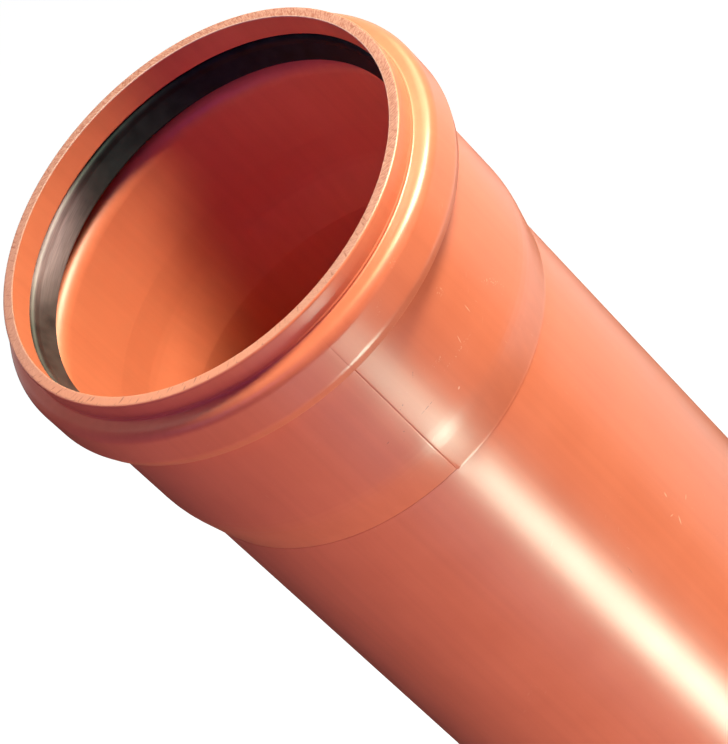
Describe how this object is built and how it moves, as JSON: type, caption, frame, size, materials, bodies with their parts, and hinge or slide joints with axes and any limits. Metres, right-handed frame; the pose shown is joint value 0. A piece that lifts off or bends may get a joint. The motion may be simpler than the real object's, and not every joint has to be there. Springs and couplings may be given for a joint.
{
  "type": "plastic sewer pipe",
  "caption": "Orange-brown plastic sewer pipe with a plain chamfered spigot and a formed push-fit socket whose bulge holds a black rubber sealing ring.",
  "frame": {"origin": "centre of the spigot's end face, on the pipe's axis, where the standing pipe meets the floor", "axes": "+Z along the pipe's axis, from the spigot end up to the socket's mouth; X and Y across the pipe"},
  "size_m": [0.1842, 0.1842, 1.085],
  "materials": {
    "pvc": "satin orange-brown PVC-U, extruded, with a pale sawn edge at the mouth",
    "seal_rubber": "black moulded rubber with a dull sheen"
  },
  "bodies": {
    "root": {"pipe": "pvc", "sealing_ring": "seal_rubber"}
  },
  "joints": []
}
